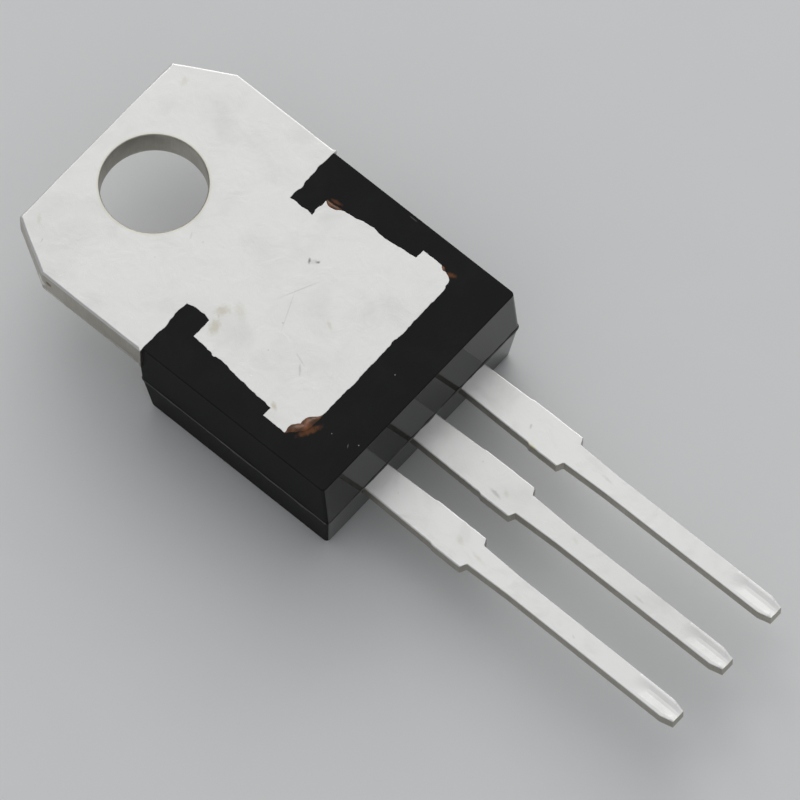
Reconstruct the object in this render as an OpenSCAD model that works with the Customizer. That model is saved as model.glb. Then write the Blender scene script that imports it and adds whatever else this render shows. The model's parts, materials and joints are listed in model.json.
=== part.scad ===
// Three-lead voltage regulator in a flat plastic package with a bolt-down metal tab.
// Millimetres. The origin is the centre of the mounting hole on the bare mounting face.
// +Z points out of that face, +Y along the tab away from the leads, +X across the leads.

/* [Tab] */
// Width of the metal tab
tab_w = 10.3; // [8.5:0.05:12.5]
// Exposed height of the tab, from its top edge to the moulded body
tab_h = 6.62; // [5.5:0.02:8]
// Thickness of the tab and of the chip pad
tab_t = 1.27; // [1.05:0.01:1.55]
// Distance from the hole centre to the top edge of the tab
hole_to_top = 2.7; // [2.4:0.05:3.3]
// Diameter of the mounting hole
hole_d = 3.8; // [3.1:0.05:4.6]
// Corner cut of the tab, measured across it
corner_cut_x = 1.15; // [0.5:0.05:1.8]
// Corner cut of the tab, measured along it
corner_cut_y = 2.05; // [0.5:0.05:3]

/* [Chip pad] */
// Width of the neck left between the two locking slots
neck_w = 5.4; // [4:0.1:6.6]
// Height of the locking slots that the epoxy fills
slot_h = 1.02; // [0.6:0.02:1.4]
// Side taper of the bare pad, from its tab end to its ears
pad_taper = 0.33; // [0:0.01:0.5]
// How far the ears stand out past the pad's sides
ear_out = 0.38; // [0.1:0.01:0.6]
// Height of the ears
ear_h = 1; // [0.6:0.05:1.3]
// Height of the corner cuts below the ears
ear_cut_y = 0.55; // [0.3:0.05:0.8]
// Width of the corner cuts below the ears
ear_cut_x = 0.58; // [0.3:0.02:0.8]
// Depth of the coined rebate along the pad's sides, which the epoxy covers
rebate_depth = 0.45; // [0.3:0.05:0.7]

/* [Moulded body] */
// Width of the body at its parting line
body_w = 10.15; // [8.4:0.05:12.2]
// Height of the whole package, from the tab's top edge to the body's lead end
package_h = 15.15; // [12.6:0.05:18.2]
// Thickness of the whole package
package_t = 4.5; // [4:0.05:5.4]
// Depth of the parting line below the mounting face
parting_depth = 2.35; // [1.95:0.05:2.8]
// How far the epoxy laps up the chip side of the tab
tab_lap = 0.2; // [0:0.05:0.6]
// Epoxy between the ears and the body's sides
side_cover = 0.83; // [0.5:0.01:1.2]
// Epoxy between the pad and the body's lead end
end_cover = 2.15; // [1.9:0.05:2.6]
// Draft of the body's sides behind the parting line, in degrees
back_side_draft = 1; // [0:0.5:4]
// Draft of the body's lead end behind the parting line, in degrees
back_end_draft = 5; // [0:0.5:8]
// Draft of the chip side of the body, in degrees
front_draft = 6; // [0:0.5:8]
// Cut across the body's upright corners
body_corner = 0.15; // [0.05:0.05:0.4]
// Diameter of the ejector mark in the chip side
ejector_d = 2; // [1:0.1:3]
// Depth of the ejector mark
ejector_depth = 0.1; // [0.05:0.05:0.2]

/* [Leads] */
// Spacing of the leads
pitch = 2.54; // [2.1:0.01:3.1]
// Thickness of the lead strip
lead_t = 0.5; // [0.4:0.02:0.62]
// Length of the leads outside the body
lead_l = 13.8; // [11.5:0.1:16.8]
// Width of a lead where it leaves the body
lead_exit_w = 1.27; // [1:0.01:1.35]
// Width of a lead just before the cut dam bar
lead_flare_w = 1.38; // [1.36:0.01:1.42]
// Width of a lead at the cut dam bar
lead_stub_w = 1.46; // [1.43:0.01:1.7]
// Length of the wide part of a lead
lead_wide_l = 4.47; // [3.8:0.01:5.4]
// Distance from the body to the cut on a lead's input side
stub_from_body = 2.15; // [1.8:0.05:2.6]
// How much later the cut starts on a lead's output side
stub_stagger = 0.95; // [0:0.05:1.1]
// Width of the pin where it leaves the wide part
pin_root_w = 0.94; // [0.9:0.01:1]
// Width of the pin
pin_w = 0.82; // [0.68:0.01:0.9]
// Length over which the pin narrows to its width
pin_taper_l = 1.9; // [1:0.1:2.5]
// Width of the pin's cut end
tip_w = 0.56; // [0.4:0.02:0.66]
// Length of the pin's pointed end
tip_l = 0.5; // [0.3:0.05:0.8]
// Sideways lean of the input lead, in degrees
input_lean = 0.1; // [-1:0.05:1]
// Sideways lean of the output lead, in degrees
output_lean = -0.3; // [-1:0.05:1]

/* [Bond posts] */
// Width of the bond posts inside the body
post_w = 2.1; // [1.6:0.1:2.5]
// Length of the bond posts
post_l = 1.1; // [0.8:0.05:1.2]
// How far the posts are moved outwards from their leads
post_shift = 0.36; // [0.3:0.02:0.5]
// Gap along the package between the pad's end and the posts
post_gap = 0.3; // [0.1:0.05:0.5]
// Run of the centre lead's slope from the pad down to the lead plane
slope_run = 1; // [0.8:0.05:1.1]

/* [Chip] */
// Width of the silicon chip
chip_w = 2.6; // [2:0.1:3.2]
// Height of the silicon chip, along the package
chip_h = 2.2; // [1.8:0.1:2.4]
// Thickness of the silicon chip
chip_t = 0.3; // [0.2:0.02:0.4]
// Thickness of the solder under the chip
solder_t = 0.05; // [0.03:0.01:0.1]
// How far the solder shows around the chip
solder_rim = 0.15; // [0.05:0.05:0.3]
// Diameter of the aluminium bond wires
wire_d = 0.25; // [0.2:0.01:0.3]
// Radius of a wire's loop, as a multiple of its span
loop_ratio = 0.62; // [0.58:0.01:0.75]
// Inset of the bond pads from the chip's edges
chip_pad_inset = 0.5; // [0.4:0.05:0.6]

/* [Hidden] */

$fn = 64;
// Cutting solids run past the faces that they cut by this much
past = 1;

// Levels along Y
top_y = hole_to_top;
shoulder_y = top_y - tab_h;
body_end_y = top_y - package_h;
pad_top_y = shoulder_y - slot_h;
pad_end_y = body_end_y + end_cover;
ear_low_y = pad_end_y + ear_cut_y;
ear_top_y = ear_low_y + ear_h;
post_top_y = pad_end_y - post_gap;
tip_y = body_end_y - lead_l;

// Levels along Z, which fall towards the chip side
chip_side_z = -tab_t;
solder_z = chip_side_z - solder_t;
chip_z = solder_z - chip_t;
lead_top_z = -parting_depth;
lead_low_z = lead_top_z - lead_t;
front_z = -package_t;

// Half widths of the body and of the pad
body_half = body_w / 2;
back_half = body_half - parting_depth * tan(back_side_draft);
front_drop = (package_t - parting_depth) * tan(front_draft);
ear_half = back_half - side_cover;
pad_low_half = ear_half - ear_out;
pad_top_half = pad_low_half - pad_taper;

// Chip centre, and the feet of the wires
chip_y = (pad_top_y + pad_end_y) / 2;
pad_x = chip_w / 2 - chip_pad_inset;
near_pad_y = chip_y - chip_h / 2 + chip_pad_inset;
far_pad_y = chip_y + chip_h / 2 - chip_pad_inset;
post_x = pitch + post_shift;
post_foot_y = post_top_y - post_l / 2;
foot_l = 2 * wire_d;
foot_w = 1.4 * wire_d;
foot_t = 0.8 * wire_d;
// The sense wire's foot on its post is this far inwards of the output wire's foot
sense_step = 2 * foot_w;
// Its foot on the chip is as far inwards, unless the input wire's foot then comes closer
// than this gap: both feet run back towards the chip's middle as far as their heading takes them
wire_gap = 0.02;
fan_angle = atan2(near_pad_y - post_foot_y, post_x - pad_x);
foot_reach = foot_l * cos(fan_angle) + foot_w / 2 * sin(fan_angle);
sense_pad_x = min(sense_step - pad_x, pad_x - 2 * foot_reach - wire_gap);
// The ground wire lands midway between the solder's edge and the pad's tab end
ground_foot_y = (chip_y + chip_h / 2 + solder_rim + pad_top_y) / 2;

// Mirrors an outline given for +X only, so that both sides come from one list
function both_sides(half) = concat(half, [for (i = [len(half) - 1 : -1 : 0]) [-half[i].x, half[i].y]]);

// Bare metal seen on the mounting face: tab, neck, tapered pad and ears
module bare_outline() {
    polygon(both_sides([
        [tab_w / 2 - corner_cut_x, top_y],
        [tab_w / 2, top_y - corner_cut_y],
        [tab_w / 2, shoulder_y],
        [neck_w / 2, shoulder_y],
        [neck_w / 2, pad_top_y],
        [pad_top_half, pad_top_y],
        [pad_low_half, ear_top_y],
        [ear_half, ear_top_y],
        [ear_half, ear_low_y],
        [ear_half - ear_cut_x, pad_end_y]
    ]));
}

// Full chip pad below the coined rebates, as wide as the ears all the way up
module rebated_outline() {
    polygon(both_sides([
        [ear_half, pad_top_y],
        [ear_half, ear_low_y],
        [ear_half - ear_cut_x, pad_end_y]
    ]));
}

// Outline of one lead from start_y inside the body to its tip.
// Outside the body its points drift sideways with the lean angle.
module lead_outline(x, start_y, lean) {
    cut_a_y = body_end_y - stub_from_body;
    cut_b_y = cut_a_y - stub_stagger;
    step_y = body_end_y - lead_wide_l;
    jog = 0.1;
    function at(half, y) = [x + half + tan(lean) * max(0, body_end_y - y), y];
    polygon([
        at(lead_exit_w / 2, start_y),
        at(lead_exit_w / 2, body_end_y),
        at(lead_flare_w / 2, cut_a_y),
        at(lead_stub_w / 2, cut_a_y - jog),
        at(lead_stub_w / 2, step_y),
        at(pin_root_w / 2, step_y - jog),
        at(pin_w / 2, step_y - pin_taper_l),
        at(pin_w / 2, tip_y + tip_l),
        at(tip_w / 2, tip_y),
        at(-tip_w / 2, tip_y),
        at(-pin_w / 2, tip_y + tip_l),
        at(-pin_w / 2, step_y - pin_taper_l),
        at(-pin_root_w / 2, step_y - jog),
        at(-lead_stub_w / 2, step_y),
        at(-lead_stub_w / 2, cut_b_y - jog),
        at(-lead_flare_w / 2, cut_b_y),
        at(-lead_exit_w / 2, body_end_y),
        at(-lead_exit_w / 2, start_y)
    ]);
}

// Sloping strip that carries the centre lead from the pad down to the lead plane.
// Both its faces are parallel, so its lower corners shift by the mitre of the bend.
module centre_slope() {
    high_z = -rebate_depth;
    root_y = pad_end_y + lead_t;
    bend_y = pad_end_y - lead_t / 4;
    foot_y = bend_y - slope_run;
    angle = atan2(high_z - lead_top_z, slope_run);
    mitre = lead_t * tan(angle / 2);
    rotate([90, 0, 90])
        linear_extrude(lead_exit_w, center = true)
            polygon([
                [root_y, high_z],
                [bend_y, high_z],
                [foot_y, lead_top_z],
                [body_end_y, lead_top_z],
                [body_end_y, lead_low_z],
                [foot_y + mitre, lead_low_z],
                [bend_y + mitre, high_z - lead_t],
                [root_y, high_z - lead_t]
            ]);
}

// Tab, chip pad and centre lead: one piece, stamped and formed from a strip of two thicknesses
module header() {
    color("gainsboro")
        difference() {
            union() {
                translate([0, 0, chip_side_z])
                    linear_extrude(tab_t)
                        bare_outline();
                translate([0, 0, chip_side_z])
                    linear_extrude(tab_t - rebate_depth)
                        rebated_outline();
                centre_slope();
                translate([0, 0, lead_low_z])
                    linear_extrude(lead_t)
                        lead_outline(0, body_end_y + lead_t, 0);
            }
            translate([0, 0, chip_side_z - past])
                cylinder(d = hole_d, h = tab_t + 2 * past);
        }
}

// Outer lead with its bond post; side is 1 on the input side and -1 on the output side
module side_lead(side, lean) {
    translate([0, 0, lead_low_z]) {
        linear_extrude(lead_t)
            lead_outline(side * pitch, post_top_y - post_l / 2, lean);
        translate([side * post_x - post_w / 2, post_top_y - post_l, 0])
            cube([post_w, post_l, lead_t]);
    }
}

module input_lead() {
    color("gainsboro") side_lead(1, input_lean);
}

module output_lead() {
    color("gainsboro") side_lead(-1, output_lean);
}

// Solder that holds the chip and carries its heat into the pad
module chip_solder() {
    color("darkgray")
        translate([-chip_w / 2 - solder_rim, chip_y - chip_h / 2 - solder_rim, solder_z])
            cube([chip_w + 2 * solder_rim, chip_h + 2 * solder_rim, solder_t]);
}

module silicon_chip() {
    color("slategray")
        translate([-chip_w / 2, chip_y - chip_h / 2, chip_z])
            cube([chip_w, chip_h, chip_t]);
}

// Flattened foot of a wire, welded to a face at z and running back from the loop's end
module wire_foot(p, heading) {
    translate([p.x, p.y, p.z - foot_t])
        rotate(heading)
            translate([-foot_l, -foot_w / 2, 0])
                cube([foot_l + wire_d / 2, foot_w, foot_t]);
}

// Bond wire from face point a to face point b: a round arc that bulges to the chip side,
// in the upright plane through both points, with a flattened foot at each end
module bond_wire(a, b) {
    heading = atan2(b.y - a.y, b.x - a.x);
    run = norm([b.x - a.x, b.y - a.y]);
    rise = b.z - a.z;
    span = norm([run, rise]);
    r = loop_ratio * span;
    tilt = atan2(rise, run);
    half_angle = asin(span / 2 / r);
    // The arc's centre lies off the middle of the chord, on the mounting-face side
    centre_s = run / 2 - r * cos(half_angle) * sin(tilt);
    centre_z = rise / 2 + r * cos(half_angle) * cos(tilt);
    translate([a.x, a.y, a.z - wire_d / 2])
        rotate([90, 0, heading])
            translate([centre_s, centre_z, 0])
                rotate(270 + tilt - half_angle)
                    rotate_extrude(angle = 2 * half_angle)
                        translate([r, 0])
                            circle(d = wire_d);
    wire_foot(a, heading);
    wire_foot(b, heading + 180);
}

module input_wire() {
    color("silver")
        bond_wire([pad_x, near_pad_y, chip_z], [post_x, post_foot_y, lead_low_z]);
}

module output_wire() {
    color("silver")
        bond_wire([-pad_x, near_pad_y, chip_z], [-post_x, post_foot_y, lead_low_z]);
}

module sense_wire() {
    color("silver")
        bond_wire([sense_pad_x, near_pad_y, chip_z],
                  [sense_step - post_x, post_foot_y, lead_low_z]);
}

// The ground wire comes down beside the chip, on the pad itself
module ground_wire() {
    color("silver")
        bond_wire([0, far_pad_y, chip_z], [0, ground_foot_y, chip_side_z]);
}

// Outside of the epoxy body: three upright profiles intersected, so every face stays flat
module body_envelope() {
    end_back_y = body_end_y + parting_depth * tan(back_end_draft);
    end_front_y = body_end_y + front_drop;
    lap_y = shoulder_y + tab_lap;
    lap_front_y = lap_y - (package_t - tab_t) * tan(front_draft);
    intersection() {
        rotate([90, 0, 90])
            linear_extrude(body_w + 2 * past, center = true)
                polygon([
                    [shoulder_y, 0],
                    [end_back_y, 0],
                    [body_end_y, lead_top_z],
                    [end_front_y, front_z],
                    [lap_front_y, front_z],
                    [lap_y, chip_side_z],
                    [shoulder_y, chip_side_z]
                ]);
        translate([0, lap_y + past, 0])
            rotate([90, 0, 0])
                linear_extrude(lap_y - body_end_y + 2 * past)
                    polygon(both_sides([
                        [back_half, 0],
                        [body_half, lead_top_z],
                        [body_half - front_drop, front_z]
                    ]));
        translate([0, 0, front_z - past])
            linear_extrude(package_t + 2 * past)
                polygon(both_sides([
                    [body_half - body_corner, lap_y],
                    [body_half, lap_y - body_corner],
                    [body_half, body_end_y + body_corner],
                    [body_half - body_corner, body_end_y]
                ]));
    }
}

// Epoxy moulded around everything else, flush with the bare pad
module moulded_body() {
    color("dimgray")
        difference() {
            body_envelope();
            header();
            input_lead();
            output_lead();
            chip_solder();
            silicon_chip();
            input_wire();
            output_wire();
            sense_wire();
            ground_wire();
            translate([0, (shoulder_y + body_end_y) / 2, front_z - past])
                cylinder(d = ejector_d, h = past + ejector_depth);
        }
}

header();
input_lead();
output_lead();
chip_solder();
silicon_chip();
input_wire();
output_wire();
sense_wire();
ground_wire();
moulded_body();
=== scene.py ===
import json
import math

import bmesh
import bpy
from mathutils import Matrix, Vector, noise
from mathutils.geometry import delaunay_2d_cdt


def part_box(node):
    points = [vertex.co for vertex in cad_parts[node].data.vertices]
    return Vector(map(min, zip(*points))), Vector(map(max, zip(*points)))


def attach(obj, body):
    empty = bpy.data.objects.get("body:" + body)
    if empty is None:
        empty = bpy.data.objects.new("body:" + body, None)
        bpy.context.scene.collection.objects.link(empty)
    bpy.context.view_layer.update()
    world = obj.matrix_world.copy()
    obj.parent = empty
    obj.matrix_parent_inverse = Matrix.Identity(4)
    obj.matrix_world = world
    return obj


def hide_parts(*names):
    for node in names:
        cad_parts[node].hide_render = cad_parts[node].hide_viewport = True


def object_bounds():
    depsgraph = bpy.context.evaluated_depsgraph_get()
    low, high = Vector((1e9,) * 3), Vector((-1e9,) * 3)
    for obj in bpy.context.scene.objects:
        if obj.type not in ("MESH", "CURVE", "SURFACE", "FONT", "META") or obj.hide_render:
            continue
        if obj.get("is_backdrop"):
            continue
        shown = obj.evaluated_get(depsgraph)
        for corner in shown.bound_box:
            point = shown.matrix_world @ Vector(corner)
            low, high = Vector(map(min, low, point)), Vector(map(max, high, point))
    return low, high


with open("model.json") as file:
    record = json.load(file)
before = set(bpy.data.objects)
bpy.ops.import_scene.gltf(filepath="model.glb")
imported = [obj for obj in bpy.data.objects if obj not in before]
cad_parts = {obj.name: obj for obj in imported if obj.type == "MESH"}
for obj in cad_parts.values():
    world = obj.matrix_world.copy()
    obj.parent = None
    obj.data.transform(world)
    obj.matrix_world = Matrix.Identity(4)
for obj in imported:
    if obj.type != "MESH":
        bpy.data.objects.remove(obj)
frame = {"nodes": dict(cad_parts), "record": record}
cad_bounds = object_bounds()

# ----------------------------------------------------------------------
# Tab, chip pad and centre lead. One copper stamping, thick at the tab and thin at the lead, plated
# dull silver. The punch rolls its upper edges and leaves a sheared wall with a torn foot. The epoxy
# grips the plate at two slots and two ears, and the plate's edge is torn there in three places.
# ----------------------------------------------------------------------
MM = 0.001

header_low, header_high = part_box("header")
lead_low, lead_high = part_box("input_lead")
body_low, body_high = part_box("moulded_body")
mounts = {mount["name"]: mount for mount in frame["record"]["mounts"]}
hole_radius = mounts["mounting_hole"]["dims"]["r_mm"] * MM
tab_thickness = mounts["mounting_hole"]["dims"]["length_mm"] * MM
tab_half = header_high.x
body_end = body_low.y

hair = 0.01 * MM
margin = 0.1 * MM
free_step = 0.13 * MM
pad_step = 0.05 * MM
free_roll = 0.1 * MM
pad_roll = 0.012 * MM
roll_wave = 1.5 * MM
round_steps = 4
skin_depth = 0.09 * MM
rebate_depth = 0.47 * MM
torn_strip = 0.26 * MM
torn_inset = 0.04 * MM
torn_roughness = 0.012 * MM
torn_wave = 0.09 * MM
foot_inset = 0.02 * MM
wall_inset = 0.02 * MM
free_from = 0.03 * MM
hole_roll = 0.05 * MM
hole_tear_start = 0.025 * MM
hole_tear_end = 0.045 * MM
hole_sides = 180
sharp_angle = math.radians(35)
flat_plate_area = 1 * MM * MM


def flat_outline(node, height):
    """Corners of the outer edge of a node's flat face at that height, anticlockwise from above."""
    mesh = bmesh.new()
    mesh.from_mesh(frame["nodes"][node].data)
    bmesh.ops.remove_doubles(mesh, verts=mesh.verts, dist=0.0002 * MM)
    same_height = 0.001 * MM
    flat = [f for f in mesh.faces if all(abs(v.co.z - height) < same_height for v in f.verts)]
    known = set(flat)
    ahead = {}
    for face in flat:
        for loop in face.loops:
            if sum(other in known for other in loop.edge.link_faces) == 1:
                ahead[loop.vert] = loop.link_loop_next.vert
    loops = []
    while ahead:
        vert = next(iter(ahead))
        loop = []
        while vert in ahead:
            loop.append(vert.co.xy.copy())
            vert = ahead.pop(vert)
        loops.append(loop)
    outer = max(loops, key=lambda loop: max(p.x for p in loop) - min(p.x for p in loop))
    corners = []
    for i, here in enumerate(outer):
        before, after = here - outer[i - 1], outer[(i + 1) % len(outer)] - here
        if abs(before.normalized().cross(after.normalized())) > 0.01:
            corners.append(here)
    mesh.free()
    return corners


def finely(corners):
    """Points along a closed outline, its corners included, closer together where the epoxy meets it."""
    points = []
    for here, there in zip(corners, corners[1:] + corners[:1]):
        step = free_step if max(here.y, there.y) > shoulder + hair else pad_step
        count = max(1, round((there - here).length / step))
        points += [here.lerp(there, i / count) for i in range(count)]
    return points


def outward(points):
    """Unit normal of a closed anticlockwise outline at each of its points."""
    normals = []
    for i, here in enumerate(points):
        ahead = points[(i + 1) % len(points)] - here
        along = ahead.normalized() + (here - points[i - 1]).normalized()
        normals.append(Vector((along.y, -along.x)).normalized())
    return normals


def pushed(points, pushes):
    """An outline moved round each place (x, y, reach, move_x, move_y), in mm."""
    moved = []
    for point in points:
        move = Vector((0.0, 0.0))
        for x, y, reach, move_x, move_y in pushes:
            away = (point - Vector((x, y)) * MM).length / (reach * MM)
            move += Vector((move_x, move_y)) * MM * math.exp(-(away ** 4))
        moved.append(point + move)
    return moved


bare_corners = flat_outline("header", header_high.z)
shoulder = min(p.y for p in bare_corners if abs(p.x) > 0.99 * tab_half)
ear_half = max(p.x for p in bare_corners if p.y < shoulder - margin)
pad_top = max(p.y for p in bare_corners if p.y < shoulder - margin)
pad_top_half = max(p.x for p in bare_corners if abs(p.y - pad_top) < hair)
ear_top = max(p.y for p in bare_corners if abs(p.x) > 0.99 * ear_half and p.y < pad_top - margin)
pad_end = min(p.y for p in bare_corners)

# Small steps and burrs of the stamped edge: place, reach, and how far each moves the edge, in mm
burrs = [
    (3.62, -6.7, 0.4, 0.07, 0), (3.72, -7.7, 0.3, -0.03, 0), (-3.58, -5.93, 0.08, -0.06, 0),
    (-3.62, -6.4, 0.3, 0.04, 0), (3.95, -10.1, 0.24, 0.07, -0.1), (2.7, -4.4, 0.42, 0.035, 0),
    (-2.7, -4.45, 0.4, 0.075, 0), (3.3, -3.92, 0.16, 0, -0.05), (4.3, -3.92, 0.25, 0, 0.03),
    (-3.9, -3.92, 0.2, 0, -0.05), (-3.2, -3.92, 0.15, 0, 0.04), (0.9, -10.3, 0.12, 0, 0.04),
    (1.5, -10.3, 0.3, 0, -0.03), (-1.2, -10.3, 0.35, 0, -0.03), (3.0, -4.94, 0.14, 0, 0.05),
]
# Torn places, where a thin skin of resin covers the metal
tears = [
    (3.52, -5.25, 0.3, -0.17, 0), (-3.6, -10.18, 0.58, 0.04, 0.37), (4.2, -9.78, 0.12, -0.08, 0.05),
]
ragged_past = 0.05 * MM
pad_ragged = 0.04 * MM
free_ragged = 0.008 * MM
slow_wave = 0.26 * MM
fast_wave = 0.11 * MM

base_points = finely(bare_corners)
nominal = []
for point, normal in zip(base_points, outward(base_points)):
    rough = pad_ragged if point.y < shoulder + ragged_past else free_ragged
    slow = noise.noise(Vector((point.x, point.y, 0)) / slow_wave)
    fast = noise.noise(Vector((point.x, point.y, 0.01)) / fast_wave)
    nominal.append(point + normal * rough * (0.6 * slow + 0.4 * fast))
nominal = [Vector((max(-tab_half, min(tab_half, p.x)), p.y)) for p in pushed(nominal, burrs)]
torn = pushed(nominal, tears)


def at_rebate(points):
    """The outline below the coined rebate, where the pad is as wide as its ears all the way up."""
    whole_run = pad_top - ear_top + ear_half - pad_top_half
    wide = []
    for point, base in zip(points, base_points):
        beside_pad = ear_top - hair < base.y < pad_top - hair and abs(base.x) > 0.8 * ear_half
        run = (pad_top - base.y + abs(base.x) - pad_top_half) / whole_run
        down_side = Vector((math.copysign(ear_half, base.x), pad_top + (ear_top - pad_top) * run))
        wide.append(down_side if beside_pad else point)
    return wide


def shifted(points, distance):
    """An outline moved inwards by a distance, which is one value or one for each point."""
    each = distance if isinstance(distance, list) else [distance] * len(points)
    return [p - n * d for p, n, d in zip(points, outward(points), each)]


def add_ring(mesh, points, height):
    return [mesh.verts.new((p.x, p.y, height)) for p in points]


def bridge(mesh, upper, lower, material=0):
    """Wall between two rings of the same count, facing out of an anticlockwise outline."""
    for i in range(len(upper)):
        j = (i + 1) % len(upper)
        wall = mesh.faces.new((upper[i], lower[i], lower[j], upper[j]))
        wall.material_index = material
        wall.smooth = True


def cap(mesh, rings, up, material=0):
    """Flat face inside the first ring and outside any others."""
    verts = [vert for ring in rings for vert in ring]
    edges, start = [], 0
    for ring in rings:
        edges += [(start + i, start + (i + 1) % len(ring)) for i in range(len(ring))]
        start += len(ring)
    filled = delaunay_2d_cdt([vert.co.xy / MM for vert in verts], edges, [], 2, 0.00001)
    for triangle in filled[2]:
        corners = [filled[3][i][0] for i in triangle]
        if min(corners) < len(rings[0]):
            corners = [verts[i] for i in (corners if up else corners[::-1])]
            mesh.faces.new(corners).material_index = material


def solid_from(mesh, name, materials):
    """A finished mesh object at the origin."""
    bmesh.ops.remove_doubles(mesh, verts=mesh.verts, dist=0.00005 * MM)
    bmesh.ops.recalc_face_normals(mesh, faces=mesh.faces)
    data = bpy.data.meshes.new(name)
    mesh.to_mesh(data)
    mesh.free()
    for material in materials:
        data.materials.append(material)
    made = bpy.data.objects.new(name, data)
    bpy.context.scene.collection.objects.link(made)
    return made


def shade(piece, flat_area):
    """Smooth shading, but not across sharp edges, level faces or faces over an area."""
    piece.data.set_sharp_from_angle(angle=sharp_angle)
    for polygon in piece.data.polygons:
        polygon.use_smooth = abs(polygon.normal.z) < 0.9999 and polygon.area < flat_area


def circle(radius, sides):
    turns = [2 * math.pi * i / sides for i in range(sides)]
    return [Vector((math.cos(turn), math.sin(turn))) * radius for turn in turns]


FACE, WALL = 0, 1


def stamped_plate(name, materials, raised=0.0):
    """The tab and pad, or with raised set the plain cutter that makes room for them in the epoxy."""
    cutting = raised > 0
    free = [float(p.y > shoulder + free_from and not cutting) for p in base_points]
    walls = [wall_inset * f for f in free]
    mesh = bmesh.new()
    rings = []
    if cutting:
        rings.append((add_ring(mesh, nominal, raised), WALL))
    else:
        roll = []
        for point, at_free in zip(base_points, free):
            uneven = 0.8 + 0.4 * noise.noise(Vector((point.x, point.y, 5)) / roll_wave)
            roll.append(free_roll * uneven if at_free else pad_roll)
        for k in range(round_steps + 1):
            turn = math.pi / 2 * k / round_steps
            insets = [r * (1 - math.sin(turn)) + w for r, w in zip(roll, walls)]
            ring = add_ring(mesh, shifted(torn, insets), 0)
            for vert, r in zip(ring, roll):
                vert.co.z = -r * (1 - math.cos(turn))
            rings.append((ring, FACE))
        rings.append((add_ring(mesh, shifted(torn, walls), -skin_depth), WALL))
        rings.append((add_ring(mesh, shifted(nominal, walls), -skin_depth - hair), WALL))
    rings.append((add_ring(mesh, shifted(nominal, walls), -rebate_depth), WALL))
    wide = at_rebate(nominal)
    for part in (-0.1, 0.0, 0.25, 0.5, 0.75, 0.95, 1.0):
        height = -rebate_depth - hair if part < 0 else -tab_thickness + torn_strip * (1 - part)
        inset = torn_inset * max(part, 0) + foot_inset * (part == 1)
        broken = 0 < part < 1
        row = []
        for point, normal, base, wall, at_free in zip(wide, outward(nominal), base_points, walls, free):
            rough = torn_roughness * noise.noise(Vector((base.x, base.y, height)) / torn_wave) * broken
            row.append(point - normal * (wall + at_free * (inset + rough)))
        rings.append((add_ring(mesh, row, height), WALL))
    for (upper, kind), (lower, _) in zip(rings, rings[1:]):
        bridge(mesh, upper, lower, kind)
    inner = [(raised, 0.0)] if cutting else []
    if not cutting:
        for k in range(round_steps + 1):
            turn = math.pi / 2 * k / round_steps
            inner.append((-hole_roll * (1 - math.cos(turn)), hole_roll * (1 - math.sin(turn))))
        inner.append((-tab_thickness + torn_strip, 0.0))
        inner.append((-tab_thickness + 0.4 * torn_strip, hole_tear_start))
    inner.append((-tab_thickness, 0.0 if cutting else hole_tear_end))
    hole_rings = [add_ring(mesh, circle(hole_radius + wider, hole_sides), height) for height, wider in inner]
    for upper, lower in zip(hole_rings, hole_rings[1:]):
        bridge(mesh, lower, upper, WALL)
    cap(mesh, [rings[0][0], hole_rings[0]], up=True, material=FACE)
    cap(mesh, [rings[-1][0], hole_rings[-1]], up=False, material=FACE)
    return solid_from(mesh, name, materials)


def add_node(tree, kind, inputs=None, **settings):
    """A node of a tree. Each of its inputs is a value, or a socket of another node."""
    node = tree.nodes.new(kind)
    for setting, value in settings.items():
        setattr(node, setting, value)
    for key, value in (inputs or {}).items():
        if isinstance(value, bpy.types.NodeSocket):
            tree.links.new(value, node.inputs[key])
        else:
            node.inputs[key].default_value = value
    return node


def calc(tree, operation, *values):
    return add_node(tree, "ShaderNodeMath", dict(enumerate(values)), operation=operation).outputs[0]


def mapped(tree, value, low, high, to_low=0.0, to_high=1.0, way="SMOOTHSTEP"):
    sockets = {"Value": value, "From Min": low, "From Max": high, "To Min": to_low, "To Max": to_high}
    return add_node(tree, "ShaderNodeMapRange", sockets, interpolation_type=way).outputs[0]


def blended(tree, share, first, second):
    mix = add_node(tree, "ShaderNodeMix", {0: share, 6: first, 7: second}, data_type="RGBA")
    return mix.outputs[2]


def new_group(name, inputs, outputs):
    """An empty shader group with named sockets: the tree, its input node and its output node."""
    tree = bpy.data.node_groups.new(name, "ShaderNodeTree")
    for socket, value in inputs.items():
        kind = "NodeSocketVector" if isinstance(value, tuple) else "NodeSocketFloat"
        tree.interface.new_socket(socket, in_out="INPUT", socket_type=kind).default_value = value
    for socket in outputs:
        tree.interface.new_socket(socket, in_out="OUTPUT", socket_type="NodeSocketFloat")
    return tree, tree.nodes.new("NodeGroupInput"), tree.nodes.new("NodeGroupOutput")


def place(tree, group, output, **values):
    """An output of a shared group placed in a material; each of its inputs is a value or a socket."""
    sockets = {key.replace("_", " ").title(): value for key, value in values.items()}
    return add_node(tree, "ShaderNodeGroup", sockets, node_tree=group).outputs[output]


def object_place(tree, offset=(0, 0, 0)):
    coords = add_node(tree, "ShaderNodeTexCoord").outputs["Object"]
    return add_node(tree, "ShaderNodeVectorMath", {0: coords, 1: offset}, operation="SUBTRACT").outputs[0]


# Fine even grain of a plated or moulded surface
grain, given, result = new_group("surface_grain", {"Grain Size": 0.03 * MM}, ["Height"])
fine = add_node(grain, "ShaderNodeTexNoise", {
    "Vector": object_place(grain), "Scale": calc(grain, "DIVIDE", 1.0, given.outputs[0]), "Detail": 3.0})
grain.links.new(fine.outputs[0], result.inputs[0])

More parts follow.
